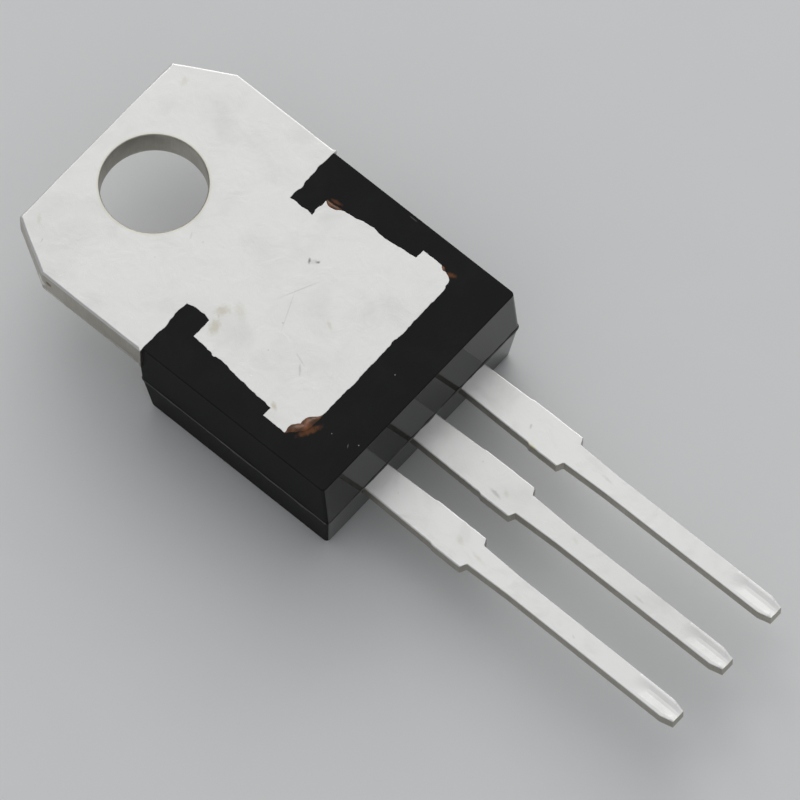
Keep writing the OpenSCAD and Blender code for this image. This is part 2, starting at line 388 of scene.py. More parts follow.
# Soft cloudy smudges left by handling
smudges, given, result = new_group(
    "handling_smudges", {"Smudge Size": 1 * MM, "Low": 0.45, "High": 0.7}, ["Mask"])
cloud = add_node(smudges, "ShaderNodeTexNoise", {
    "Vector": object_place(smudges), "Scale": calc(smudges, "DIVIDE", 1.0, given.outputs[0]), "Detail": 4.0,
    "Roughness": 0.62, "Distortion": 0.6})
smudges.links.new(mapped(smudges, cloud.outputs[0], given.outputs[1], given.outputs[2]), result.inputs[0])

# Short straight hairline scratches, all one way
hairlines, given, result = new_group(
    "hairline_scratches", {"Turn": 0.0, "Length": 1.5 * MM, "Width": 0.02 * MM, "Sparseness": 0.7}, ["Mask"])
turned = add_node(hairlines, "ShaderNodeVectorRotate", {
    "Vector": object_place(hairlines), "Angle": given.outputs[0]}, rotation_type="Z_AXIS")
parts = add_node(hairlines, "ShaderNodeSeparateXYZ", {0: turned.outputs[0]})
stretched = add_node(hairlines, "ShaderNodeCombineXYZ", {
    0: calc(hairlines, "DIVIDE", parts.outputs[0], given.outputs[1]),
    1: calc(hairlines, "DIVIDE", parts.outputs[1], given.outputs[2]),
    2: calc(hairlines, "DIVIDE", parts.outputs[2], given.outputs[1])})
strokes = add_node(hairlines, "ShaderNodeTexNoise", {
    "Vector": stretched.outputs[0], "Scale": 1.0, "Detail": 1.0})
limit = calc(hairlines, "ADD", given.outputs[3], 0.05)
hairlines.links.new(mapped(hairlines, strokes.outputs[0], given.outputs[3], limit), result.inputs[0])

# One mark with a place of its own: an oval with a ragged, soft edge
spot, given, result = new_group("single_mark", {
    "Centre": (0.0, 0.0, 0.0), "Half Length": 1 * MM, "Half Width": 1 * MM, "Turn": 0.0, "Softness": 0.5,
    "Raggedness": 0.9, "Half Depth": 0.35 * MM, "Wobble": 0.5}, ["Mask"])
coords = add_node(spot, "ShaderNodeTexCoord").outputs["Object"]
offset = add_node(spot, "ShaderNodeVectorMath", {0: coords, 1: given.outputs[0]}, operation="SUBTRACT")
turned_back = calc(spot, "MULTIPLY", given.outputs[3], -1.0)
turned = add_node(spot, "ShaderNodeVectorRotate", {
    "Vector": offset.outputs[0], "Angle": turned_back}, rotation_type="Z_AXIS")
parts = add_node(spot, "ShaderNodeSeparateXYZ", {0: turned.outputs[0]})
oval = add_node(spot, "ShaderNodeCombineXYZ", {
    0: calc(spot, "DIVIDE", parts.outputs[0], given.outputs[1]),
    1: calc(spot, "DIVIDE", parts.outputs[1], given.outputs[2]),
    2: calc(spot, "DIVIDE", parts.outputs[2], given.outputs[6])})
reach = add_node(spot, "ShaderNodeVectorMath", {0: oval.outputs[0]}, operation="LENGTH").outputs["Value"]
wobbled = calc(spot, "MULTIPLY_ADD", calc(spot, "SUBTRACT", given.outputs[7], 0.5), given.outputs[5], reach)
inside = calc(spot, "SUBTRACT", 1.0, given.outputs[4])
spot.links.new(mapped(spot, wobbled, 1.0, inside), result.inputs[0])


def new_material(name):
    made = bpy.data.materials.new(name)
    made.use_nodes = True
    tree = made.node_tree
    tree.nodes.clear()
    shader = add_node(tree, "ShaderNodeBsdfPrincipled")
    add_node(tree, "ShaderNodeOutputMaterial", {"Surface": shader.outputs[0]})
    return made, tree, shader


def marked(tree, colour, marks, level=0.0):
    """A colour with marks over it at one level: place and half sizes in mm, turn, strength and tint."""
    wobble = place(tree, grain, "Height", grain_size=0.12 * MM)
    for x, y, half_length, half_width, turn, strength, tint in marks:
        mask = place(tree, spot, "Mask", centre=(x * MM, y * MM, level), half_length=half_length * MM,
                     half_width=half_width * MM, turn=math.radians(turn), softness=0.85, wobble=wobble)
        colour = blended(tree, calc(tree, "MULTIPLY", mask, strength), colour, tint)
    return colour


def bump_from(tree, height, distance, under=None):
    sockets = {"Height": height, "Distance": distance, "Strength": 1.0}
    if under is not None:
        sockets["Normal"] = under
    return add_node(tree, "ShaderNodeBump", sockets).outputs[0]


grey = (0.42, 0.42, 0.4, 1)
tan = (0.5, 0.46, 0.36, 1)
dark = (0.1, 0.1, 0.1, 1)
header_marks = [
    (1.3, -6.05, 0.15, 0.07, 35, 0.9, dark), (1.46, -6.3, 0.11, 0.07, -60, 0.8, dark),
    (1.38, -6.18, 0.3, 0.16, -50, 0.35, grey), (-1.09, -6.93, 0.05, 0.05, 0, 0.6, grey),
    (-2.21, -7.23, 0.05, 0.05, 0, 0.5, grey), (-2.75, -5.25, 0.5, 0.26, 20, 0.6, tan),
    (-2.1, -5.05, 0.42, 0.3, -30, 0.55, tan), (-1.7, -5.5, 0.5, 0.3, 60, 0.3, tan),
    (-3.69, -8.8, 0.26, 0.13, 60, 0.7, tan), (-2.05, -8.55, 0.34, 0.06, 40, 0.5, grey),
    (-1.75, -8.3, 0.4, 0.05, 70, 0.35, grey), (0.2, -6.5, 1.1, 0.035, -25, 0.4, grey),
    (-0.6, -6.75, 1.2, 0.03, 24, 0.35, grey), (-0.1, -8.2, 0.3, 0.1, 60, 0.35, tan),
    (-4.18, 1.48, 0.12, 0.04, 15, 0.5, grey), (-0.65, -2.3, 0.2, 0.06, 30, 0.35, grey),
    (-0.57, -2.78, 0.06, 0.04, 0, 0.4, grey), (3.7, 1.85, 0.3, 0.18, 20, 0.3, tan),
    (-3.63, 2.1, 0.3, 0.12, 40, 0.35, tan), (-2.1, -1.91, 0.05, 0.04, 0, 0.35, grey),
]
centre_lead_marks = [
    (-0.34, -16.0, 0.42, 0.09, 80, 0.6, grey), (-0.1, -16.3, 0.3, 0.12, 50, 0.3, tan),
    (0.3, -14.9, 0.05, 0.04, 0, 0.4, grey), (0.1, -19.3, 0.25, 0.1, 70, 0.25, tan),
    (-0.15, -22.4, 0.3, 0.07, 85, 0.3, grey),
]

clean_plate = (0.7, 0.698, 0.68, 1)
hazy_plate = (0.62, 0.62, 0.595, 1)
specked_plate = (0.6, 0.6, 0.57, 1)
scratched_plate = (0.5, 0.5, 0.48, 1)
worn_rim = (0.56, 0.52, 0.3, 1)
rim_start = 0.02 * MM
rim_end = 0.16 * MM
plated_face, tree, shader = new_material("dull_plate")
clouds = place(tree, smudges, "Mask", smudge_size=2.2 * MM, low=0.42, high=0.75)
speckle = place(tree, smudges, "Mask", smudge_size=0.3 * MM, low=0.55, high=0.8)
across = place(tree, hairlines, "Mask", turn=math.radians(28), length=0.9 * MM, width=0.016 * MM,
               sparseness=0.69)
along = place(tree, hairlines, "Mask", turn=math.radians(-57), length=1.6 * MM, width=0.014 * MM,
              sparseness=0.71)
colour = blended(tree, calc(tree, "MULTIPLY", clouds, 0.3), clean_plate, hazy_plate)
colour = blended(tree, calc(tree, "MULTIPLY", speckle, 0.2), colour, specked_plate)
scratched = calc(tree, "MAXIMUM", across, along)
colour = blended(tree, calc(tree, "MULTIPLY", scratched, 0.1), colour, scratched_plate)
colour = marked(tree, colour, header_marks)
colour = marked(tree, colour, centre_lead_marks, lead_high.z)
flat_place = add_node(tree, "ShaderNodeSeparateXYZ", {0: object_place(tree)})
plan = add_node(tree, "ShaderNodeCombineXYZ", {0: flat_place.outputs[0], 1: flat_place.outputs[1]})
from_axis = add_node(tree, "ShaderNodeVectorMath", {0: plan.outputs[0]}, operation="LENGTH")
rim = mapped(tree, from_axis.outputs["Value"], hole_radius + rim_end, hole_radius + rim_start)
colour = blended(tree, calc(tree, "MULTIPLY", rim, 0.4), colour, worn_rim)
tree.links.new(colour, shader.inputs["Base Color"])
roughness = calc(tree, "MULTIPLY_ADD", clouds, 0.08, 0.43)
tree.links.new(calc(tree, "MULTIPLY_ADD", scratched, -0.05, roughness), shader.inputs["Roughness"])
shader.inputs["Metallic"].default_value = 1.0
rough_skin = bump_from(tree, place(tree, grain, "Height", grain_size=0.035 * MM), 0.0012 * MM)
scored = bump_from(tree, calc(tree, "MULTIPLY", scratched, -1.0), 0.0007 * MM, under=rough_skin)
swell = place(tree, smudges, "Mask", smudge_size=0.9 * MM, low=0.3, high=0.8)
waves = bump_from(tree, swell, 0.004 * MM, under=scored)
tree.links.new(waves, shader.inputs["Normal"])

# Sheared walls keep the drag lines of the punch, and the plating is thin and brownish there
painted_glint = (0.86, 0.86, 0.83, 1)
brown = (0.16, 0.06, 0.022, 1)
bare_wall = (0.42, 0.4, 0.35, 1)
plated_wall = (0.54, 0.53, 0.48, 1)
drawn_wall = (0.3, 0.27, 0.21, 1)
drag_width = 0.03 * MM
drag_length = 0.9 * MM
sheared_wall, tree, shader = new_material("sheared_edge")
drag_place = add_node(tree, "ShaderNodeVectorMath", {
    0: object_place(tree), 1: (1 / drag_width, 1 / drag_width, 1 / drag_length)}, operation="MULTIPLY")
dragged = {"Vector": drag_place.outputs[0], "Scale": 1.0, "Detail": 2.0}
drag = add_node(tree, "ShaderNodeTexNoise", dragged).outputs[0]
patches = place(tree, smudges, "Mask", smudge_size=1.4 * MM, low=0.3, high=0.75)
colour = blended(tree, patches, bare_wall, plated_wall)
colour = blended(tree, calc(tree, "MULTIPLY", drag, 0.35), colour, drawn_wall)
# Spots on the left sheared wall: the near-white ones are painted highlights, standing in for the lit strips
# where the torn foot and wall catch the light. The brown one is a real stain of resin.
for y, height, length, depth, tint in (
        (-3.0, -1.1, 0.8, 0.07, painted_glint), (0.1, -1.12, 0.6, 0.06, painted_glint),
        (0.75, -0.75, 0.3, 0.2, painted_glint), (0.35, -0.5, 0.16, 0.14, brown)):
    mask = place(tree, spot, "Mask", centre=(-tab_half, y * MM, height * MM), half_length=0.5 * MM,
                 half_width=length * MM, half_depth=depth * MM, softness=0.4, wobble=drag)
    colour = blended(tree, calc(tree, "MULTIPLY", mask, 0.75), colour, tint)
tree.links.new(colour, shader.inputs["Base Color"])
tree.links.new(calc(tree, "MULTIPLY_ADD", drag, 0.25, 0.28), shader.inputs["Roughness"])
shader.inputs["Metallic"].default_value = 1.0
tree.links.new(bump_from(tree, drag, 0.006 * MM), shader.inputs["Normal"])

# The lead strip: a rule that sets the widths and bends along it, shared by all three leads
tremor_wave = 0.22 * MM
coin_rise = 0.7 * MM
coin_half = 0.27 * MM
lead_thickness = lead_high.z - lead_low.z
lead_middle = (lead_high.z + lead_low.z) / 2
lead_length = body_end - lead_low.y
lead_sizes = {
    "Body End": body_end, "Thickness": lead_thickness, "Edge Radius": 0.045 * MM, "Row Spacing": 0.05 * MM,
    "Bend Radius": 0.45 * MM,
    "Exit Width": 1.27 * MM, "Flare Width": 1.38 * MM, "Stub Width": 1.46 * MM, "Root Width": 0.94 * MM,
    "Pin Width": 0.82 * MM, "Tip Width": 0.56 * MM, "Right Cut": 2.15 * MM, "Left Cut": 3.1 * MM,
    "Jog": 0.1 * MM, "Step": 4.47 * MM, "Taper": 1.8 * MM, "Length": lead_length, "Point": 0.5 * MM,
    "Right Post": 0.635 * MM, "Left Post": 0.635 * MM, "Post End": -0.77 * MM, "Centre": 0.0, "Lean": 0.0,
    "Ragged": 0.045 * MM, "Coin Length": 2.1 * MM, "Coin Depth": 0.038 * MM, "Coin Side": 0.06 * MM,
    "Seed": 0.0,
}

lead_rule = bpy.data.node_groups.new("stamped_lead", "GeometryNodeTree")
lead_rule.interface.new_socket("Geometry", in_out="INPUT", socket_type="NodeSocketGeometry")
lead_sockets = {}
for name, value in lead_sizes.items():
    socket = lead_rule.interface.new_socket(name, in_out="INPUT", socket_type="NodeSocketFloat")
    socket.default_value = value
    lead_sockets[name] = socket.identifier
for name in ("Face Material", "Wall Material"):
    socket = lead_rule.interface.new_socket(name, in_out="INPUT", socket_type="NodeSocketMaterial")
    lead_sockets[name] = socket.identifier
lead_rule.interface.new_socket("Geometry", in_out="OUTPUT", socket_type="NodeSocketGeometry")

tree = lead_rule
given = tree.nodes.new("NodeGroupInput").outputs
path = add_node(tree, "GeometryNodeMeshToCurve", {0: given["Geometry"]})
bent = add_node(tree, "GeometryNodeFilletCurve", {
    "Curve": path.outputs[0], "Count": 8, "Radius": given["Bend Radius"], "Limit Radius": True}, mode="POLY")
rows = add_node(tree, "GeometryNodeResampleCurve", {
    "Curve": bent.outputs[0], "Length": given["Row Spacing"]}, mode="LENGTH")
level = add_node(tree, "GeometryNodeSetCurveNormal", {"Curve": rows.outputs[0]}, mode="Z_UP")
section = add_node(tree, "GeometryNodeCurvePrimitiveQuadrilateral", {
    "Width": given["Exit Width"], "Height": given["Thickness"]})
divided = add_node(tree, "GeometryNodeSubdivideCurve", {"Curve": section.outputs[0], "Cuts": 5})
rounded = add_node(tree, "GeometryNodeFilletCurve", {
    "Curve": divided.outputs[0], "Count": 3, "Radius": given["Edge Radius"]}, mode="POLY")
strip = add_node(tree, "GeometryNodeCurveToMesh", {
    "Curve": level.outputs[0], "Profile Curve": rounded.outputs[0], "Fill Caps": True})
merged = add_node(tree, "GeometryNodeMergeByDistance", {
    "Geometry": strip.outputs[0], "Distance": 0.0005 * MM})
position = add_node(tree, "GeometryNodeInputPosition")
x, y, z = add_node(tree, "ShaderNodeSeparateXYZ", {0: position.outputs[0]}).outputs
distance = calc(tree, "SUBTRACT", given["Body End"], y)
exit_half = calc(tree, "MULTIPLY", given["Exit Width"], 0.5)


def width_ramp(start, length, before, after):
    """How much the half width has changed by here, where it goes from one width to another."""
    rise = calc(lead_rule, "MULTIPLY", calc(lead_rule, "SUBTRACT", after, before), 0.5)
    return mapped(lead_rule, distance, start, calc(lead_rule, "ADD", start, length), 0.0, rise, way="LINEAR")


halves = []
for side in ("Right", "Left"):
    post = calc(tree, "MULTIPLY", given[side + " Post"], 2.0)
    after_step = calc(tree, "ADD", given["Step"], given["Jog"])
    point_start = calc(tree, "SUBTRACT", given["Length"], given["Point"])
    half = given[side + " Post"]
    for start, length, before, after in [
            (given["Post End"], 0.02 * MM, post, given["Exit Width"]),
            (0.0, given[side + " Cut"], given["Exit Width"], given["Flare Width"]),
            (given[side + " Cut"], given["Jog"], given["Flare Width"], given["Stub Width"]),
            (given["Step"], given["Jog"], given["Stub Width"], given["Root Width"]),
            (after_step, given["Taper"], given["Root Width"], given["Pin Width"]),
            (point_start, given["Point"], given["Pin Width"], given["Tip Width"])]:
        half = calc(tree, "ADD", half, width_ramp(start, length, before, after))
    halves.append(half)
on_right = calc(tree, "GREATER_THAN", x, 0.0)
half_here = add_node(tree, "ShaderNodeMix", {0: on_right, 2: halves[1], 3: halves[0]}).outputs[0]
scaled = calc(tree, "MULTIPLY", x, calc(tree, "DIVIDE", half_here, exit_half))
edge = mapped(tree, calc(tree, "ABSOLUTE", x), calc(tree, "MULTIPLY", exit_half, 0.8), exit_half)
tremor_place = add_node(tree, "ShaderNodeCombineXYZ", {
    0: calc(tree, "MULTIPLY", on_right, 7.3), 1: calc(tree, "DIVIDE", y, tremor_wave), 2: given["Seed"]})
trembling = {"Vector": tremor_place.outputs[0], "Scale": 1.0, "Detail": 3.0}
tremor = add_node(tree, "ShaderNodeTexNoise", trembling).outputs[0]
from_cut = mapped(tree, distance, calc(tree, "SUBTRACT", given["Right Cut"], 0.2 * MM), given["Right Cut"])
past_step = mapped(tree, distance, given["Step"], calc(tree, "ADD", given["Step"], 0.3 * MM))
near_dam = calc(tree, "SUBTRACT", from_cut, past_step)
amount = calc(tree, "MULTIPLY", given["Ragged"], calc(tree, "MULTIPLY_ADD", near_dam, 0.75, 0.25))
wander = calc(tree, "MULTIPLY", calc(tree, "MULTIPLY", calc(tree, "SUBTRACT", tremor, 0.5), amount), edge)
wander = calc(tree, "MULTIPLY", wander, calc(tree, "SIGN", x))
leaning = calc(tree, "MULTIPLY", calc(tree, "MAXIMUM", distance, 0.0), given["Lean"])
final_x = calc(tree, "ADD", calc(tree, "ADD", scaled, wander), calc(tree, "ADD", given["Centre"], leaning))
coin_start = calc(tree, "SUBTRACT", given["Length"], given["Coin Length"])
coined = mapped(tree, distance, coin_start, calc(tree, "ADD", coin_start, coin_rise))
across = calc(tree, "DIVIDE", calc(tree, "SUBTRACT", scaled, given["Coin Side"]), coin_half)
valley = calc(tree, "MAXIMUM", calc(tree, "SUBTRACT", 1.0, calc(tree, "MULTIPLY", across, across)), 0.0)
on_top = mapped(tree, z, lead_middle + 0.3 * lead_thickness, lead_middle + 0.48 * lead_thickness)
deepest = calc(tree, "MULTIPLY", on_top, given["Coin Depth"])
sunk = calc(tree, "MULTIPLY", calc(tree, "MULTIPLY", coined, valley), deepest)
placed = add_node(tree, "ShaderNodeCombineXYZ", {0: final_x, 1: y, 2: calc(tree, "SUBTRACT", z, sunk)})
shaped = add_node(tree, "GeometryNodeSetPosition", {
    "Geometry": merged.outputs[0], "Position": placed.outputs[0]})
whole = add_node(tree, "GeometryNodeRealizeInstances", {0: shaped.outputs[0]})
faced = add_node(tree, "GeometryNodeSetMaterial", {
    "Geometry": whole.outputs[0], "Material": given["Face Material"]})
tilt = add_node(tree, "ShaderNodeSeparateXYZ", {0: add_node(tree, "GeometryNodeInputNormal").outputs[0]})
upright = calc(tree, "LESS_THAN", calc(tree, "ABSOLUTE", tilt.outputs[2]), 0.4)
walled = add_node(tree, "GeometryNodeSetMaterial", {
    "Geometry": faced.outputs[0], "Selection": upright, "Material": given["Wall Material"]})
add_node(tree, "NodeGroupOutput", {0: walled.outputs[0]})


def stamped_lead(name, path_points, face, wall, **sizes):
    """A lead of plain mesh that follows a path in the plane x = 0 and takes its widths from the rule."""
    line = bpy.data.meshes.new(name)
    links = [(i, i + 1) for i in range(len(path_points) - 1)]
    line.from_pydata([(0, y, z) for y, z in path_points], links, [])
    carrier = bpy.data.objects.new(name + "_path", line)
    bpy.context.scene.collection.objects.link(carrier)
    rule = carrier.modifiers.new("lead", "NODES")
    rule.node_group = lead_rule
    rule[lead_sockets["Face Material"]] = face
    rule[lead_sockets["Wall Material"]] = wall
    for size, value in sizes.items():
        rule[lead_sockets[size.replace("_", " ").title()]] = value
    evaluated = carrier.evaluated_get(bpy.context.evaluated_depsgraph_get())
    made = bpy.data.objects.new(name, bpy.data.meshes.new_from_object(evaluated))
    bpy.context.scene.collection.objects.link(made)
    bpy.data.objects.remove(carrier)
    mesh = bmesh.new()
    mesh.from_mesh(made.data)
    bmesh.ops.recalc_face_normals(mesh, faces=mesh.faces)
    mesh.to_mesh(made.data)
    mesh.free()
    return made


def combined(piece, other, operation):
    """piece joined with another solid, or cut by it; the other is removed. The work is done in mm."""
    for each in (piece, other):
        each.data.transform(Matrix.Scale(1 / MM, 4))
    tool = piece.modifiers.new("tool", "BOOLEAN")
    tool.operation = operation
    tool.solver = "EXACT"
    tool.object = other
    evaluated = piece.evaluated_get(bpy.context.evaluated_depsgraph_get())
    result = bpy.data.meshes.new_from_object(evaluated)
    result.transform(Matrix.Scale(MM, 4))
    piece.modifiers.clear()
    piece.data = result
    bpy.data.objects.remove(other)


root_depth = 0.45 * MM
bend_run = 1 * MM
root_z = -root_depth - lead_thickness / 2
bend_y = pad_end - lead_thickness / 4
centre_path = [
    (pad_end + lead_thickness, root_z), (bend_y, root_z),
    (bend_y - bend_run, lead_middle), (header_low.y, lead_middle),
]
metal_header = stamped_plate("metal_header", [plated_face, sheared_wall])
centre_lead = stamped_lead("centre_lead", centre_path, plated_face, sheared_wall, seed=2.0)
combined(metal_header, centre_lead, "UNION")
shade(metal_header, flat_plate_area)
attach(metal_header, "root")
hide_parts("header")

# ----------------------------------------------------------------------
# Input and output leads. Each is cut from the thin part of the same strip and tin plated. Inside
# the body it widens into a post for its bond wires; outside, the cut dam bar leaves a wider stub
# and a step, and the pin's end is coined and pointed.
# ----------------------------------------------------------------------
pitch = 2.54 * MM
post_width = 2.1 * MM
post_length = 1.1 * MM
post_shift = 0.36 * MM
clean_tin = (0.725, 0.723, 0.705, 1)
hazy_tin = (0.645, 0.645, 0.62, 1)
drawn_tin = (0.6, 0.6, 0.58, 1)
yellowed = (0.62, 0.55, 0.25, 1)
lead_marks = [
    (-2.49, -16.26, 0.3, 0.16, 60, 0.3, tan), (-0.3, -16.1, 0.4, 0.06, 70, 0.5, grey),
    (1.84, -15.8, 0.35, 0.1, 80, 0.5, yellowed), (2.41, -15.26, 0.16, 0.06, 30, 0.5, grey),
    (-2.54, -13.47, 0.06, 0.04, 0, 0.4, grey), (-2.6, -17.2, 0.5, 0.1, 80, 0.3, tan),
    (2.6, -18.6, 0.4, 0.08, 85, 0.3, grey), (-2.7, -21.6, 0.12, 0.05, 70, 0.4, grey),
]
tinned_lead, tree, shader = new_material("tinned_lead")
clouds = place(tree, smudges, "Mask", smudge_size=0.9 * MM, low=0.42, high=0.75)
drawn = place(tree, hairlines, "Mask", turn=math.radians(90), length=2 * MM, width=0.02 * MM,
              sparseness=0.62)
colour = blended(tree, calc(tree, "MULTIPLY", clouds, 0.3), clean_tin, hazy_tin)
colour = blended(tree, calc(tree, "MULTIPLY", drawn, 0.08), colour, drawn_tin)
tree.links.new(marked(tree, colour, lead_marks, lead_high.z), shader.inputs["Base Color"])
tree.links.new(calc(tree, "MULTIPLY_ADD", clouds, 0.05, 0.42), shader.inputs["Roughness"])
shader.inputs["Metallic"].default_value = 1.0
skin = bump_from(tree, place(tree, grain, "Height", grain_size=0.03 * MM), 0.001 * MM)
skin = bump_from(tree, drawn, 0.0004 * MM, under=skin)
tree.links.new(bump_from(tree, clouds, 0.003 * MM, under=skin), shader.inputs["Normal"])

post_end = lead_high.y - post_length
for side, node, lean, seed in ((1, "input_lead", 0.1, 5.0), (-1, "output_lead", -0.3, 9.0)):
    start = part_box(node)[1].y
    lead = stamped_lead(
        node + "_strip", [(start, lead_middle), (lead_low.y, lead_middle)], tinned_lead, sheared_wall,
        centre=side * pitch, lean=math.tan(math.radians(lean)), seed=seed, post_end=body_end - post_end,
        right_post=post_width / 2 + side * post_shift, left_post=post_width / 2 - side * post_shift)
    shade(lead, flat_plate_area)
    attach(lead, "root")
    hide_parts(node)

# ----------------------------------------------------------------------
# Solder under the chip. A thin bed of soft solder, reflowed between the pad and the back of the
# chip, dull and slightly uneven.
# ----------------------------------------------------------------------
dull_solder = (0.5, 0.5, 0.51, 1)
bright_solder = (0.62, 0.62, 0.63, 1)
solder_metal, tree, shader = new_material("reflowed_solder")
ripple = place(tree, smudges, "Mask", smudge_size=0.35 * MM, low=0.35, high=0.7)
colour = blended(tree, ripple, dull_solder, bright_solder)
tree.links.new(colour, shader.inputs["Base Color"])
tree.links.new(calc(tree, "MULTIPLY_ADD", ripple, 0.2, 0.35), shader.inputs["Roughness"])
shader.inputs["Metallic"].default_value = 1.0
tree.links.new(bump_from(tree, ripple, 0.004 * MM), shader.inputs["Normal"])
frame["nodes"]["chip_solder"].data.materials.clear()
frame["nodes"]["chip_solder"].data.materials.append(solder_metal)

# ----------------------------------------------------------------------
# Chip. A sawn square of silicon with the circuit on its far face, polished, with the metal of its
# circuit in fine blocks.
# ----------------------------------------------------------------------
block_size = 0.4 * MM
blue_block = (0.16, 0.2, 0.3, 1)
violet_block = (0.34, 0.3, 0.42, 1)
metal_track = (0.6, 0.6, 0.62, 1)
silicon, tree, shader = new_material("silicon_chip_surface")
blocks = add_node(tree, "ShaderNodeTexBrick", {
    "Vector": object_place(tree), "Scale": 1 / block_size, "Color1": blue_block, "Color2": violet_block,
    "Mortar": metal_track, "Mortar Size": 0.04})
tree.links.new(blocks.outputs["Color"], shader.inputs["Base Color"])
tree.links.new(calc(tree, "MULTIPLY_ADD", blocks.outputs["Fac"], 0.2, 0.15), shader.inputs["Roughness"])
shader.inputs["Metallic"].default_value = 0.6
tree.links.new(bump_from(tree, blocks.outputs["Fac"], 0.001 * MM), shader.inputs["Normal"])
frame["nodes"]["silicon_chip"].data.materials.clear()
frame["nodes"]["silicon_chip"].data.materials.append(silicon)

# ----------------------------------------------------------------------
# Bond wires. Drawn aluminium wire, pressed flat and welded at each end: one for the input, two for
# the output and its sense pad, one down to the pad for ground.
# ----------------------------------------------------------------------
clean_wire = (0.86, 0.86, 0.87, 1)
lined_wire = (0.66, 0.66, 0.68, 1)
drawn_wire, tree, shader = new_material("drawn_aluminium")
draw_lines = place(tree, hairlines, "Mask", turn=math.radians(55), length=0.6 * MM, width=0.012 * MM,
                   sparseness=0.55)
colour = blended(tree, calc(tree, "MULTIPLY", draw_lines, 0.5), clean_wire, lined_wire)
tree.links.new(colour, shader.inputs["Base Color"])
tree.links.new(calc(tree, "MULTIPLY_ADD", draw_lines, 0.15, 0.24), shader.inputs["Roughness"])
shader.inputs["Metallic"].default_value = 1.0
tree.links.new(bump_from(tree, draw_lines, 0.001 * MM), shader.inputs["Normal"])
for node in ("input_wire", "output_wire", "sense_wire", "ground_wire"):
    frame["nodes"][node].data.materials.clear()
    frame["nodes"][node].data.materials.append(drawn_wire)

# ----------------------------------------------------------------------
# Moulded body. Black filled epoxy, pressed round everything else in a two-part mould. The faces
# are matte from the spark-cut mould, the lead end is polished, a thread of flash runs round the
# parting line, and a thin brown skin of resin has crept over the pad's torn edge.
# ----------------------------------------------------------------------
body_half = body_high.x
parting = lead_high.z
lap = body_high.y
front = body_low.z
back_draft = math.tan(math.radians(1))
end_draft = math.tan(math.radians(5))
front_draft = math.tan(math.radians(6))
corner_radius = 0.16 * MM
edge_radius = 0.035 * MM
front_radius = 0.12 * MM
flash_height = 0.05 * MM
flash_thickness = 0.02 * MM
flash_wave = 0.5 * MM
ejector_radius = 1 * MM
ejector_depth = 0.1 * MM
ejector_rim = 0.02 * MM
ejector_sides = 64
tab_lap = 0.1 * MM
room_above = 0.4 * MM
end_reach = 0.4 * MM
near_face = 0.02 * MM
flat_epoxy_area = 0.02 * MM * MM
corner_steps = 6
side_steps = 48
edge_steps = 3
MATTE, POLISHED, SKIN, FLASH = 0, 1, 2, 3

dust = (0.42, 0.41, 0.38, 1)
chip_grey = (0.16, 0.16, 0.16, 1)
epoxy_marks = [
    (4.1, -10.08, 0.3, 0.13, -70, 0.9, brown), (-3.6, -10.35, 0.62, 0.17, -25, 0.85, brown),
    (3.63, -5.25, 0.3, 0.1, -80, 0.7, brown), (-0.05, -11.16, 0.035, 0.03, 0, 0.8, dust),
    (-3.17, -10.99, 0.03, 0.03, 0, 0.8, dust), (-2.9, -11.99, 0.03, 0.03, 0, 0.9, dust),
    (-3.16, -11.72, 0.12, 0.015, 30, 0.6, dust), (4.9, -7.7, 0.25, 0.03, -90, 0.5, chip_grey),
]


def epoxy(name, roughness, rough_bump, base):
    """Black epoxy: the filler's fine grain, a little dust, and how smooth the mould was there."""
    made, tree, shader = new_material(name)
    clouds = place(tree, smudges, "Mask", smudge_size=1.6 * MM, low=0.4, high=0.75)
    specks = place(tree, smudges, "Mask", smudge_size=0.035 * MM, low=0.79, high=0.83)
    colour = blended(tree, clouds, base, tuple(1.6 * part for part in base[:3]) + (1,))
    colour = blended(tree, calc(tree, "MULTIPLY", specks, 0.5), colour, (0.3, 0.3, 0.29, 1))
    tree.links.new(marked(tree, colour, epoxy_marks), shader.inputs["Base Color"])
    tree.links.new(calc(tree, "MULTIPLY_ADD", clouds, 0.04, roughness), shader.inputs["Roughness"])
    cells = bump_from(tree, place(tree, grain, "Height", grain_size=0.045 * MM), rough_bump)
    tree.links.new(cells, shader.inputs["Normal"])
    shader.inputs["IOR"].default_value = 1.55
    return made, shader


black = (0.007, 0.007, 0.0073, 1)
deep_black = (0.005, 0.005, 0.0055, 1)
flash_painted_highlight = (0.07, 0.066, 0.06, 1)
matte_epoxy, shader = epoxy("matte_epoxy", 0.62, 0.006 * MM, black)
shader.inputs["Specular IOR Level"].default_value = 0.12
polished_epoxy, shader = epoxy("polished_epoxy", 0.01, 0.00003 * MM, deep_black)
# The flash's colour is ten times lighter than the body's black. It is a painted highlight, standing in for the
# light that the thin flash ridge catches along the parting line.
flash_resin_highlight, shader = epoxy("flash_resin_highlight", 0.35, 0.003 * MM, flash_painted_highlight)

thick_amber = (0.1, 0.042, 0.017, 1)
thin_amber = (0.25, 0.09, 0.03, 1)
resin_skin, tree, shader = new_material("resin_skin")
amber = place(tree, smudges, "Mask", smudge_size=0.22 * MM, low=0.35, high=0.7)
colour = blended(tree, amber, thick_amber, thin_amber)
tree.links.new(colour, shader.inputs["Base Color"])
tree.links.new(calc(tree, "MULTIPLY_ADD", amber, 0.15, 0.3), shader.inputs["Roughness"])
tree.links.new(bump_from(tree, amber, 0.004 * MM), shader.inputs["Normal"])


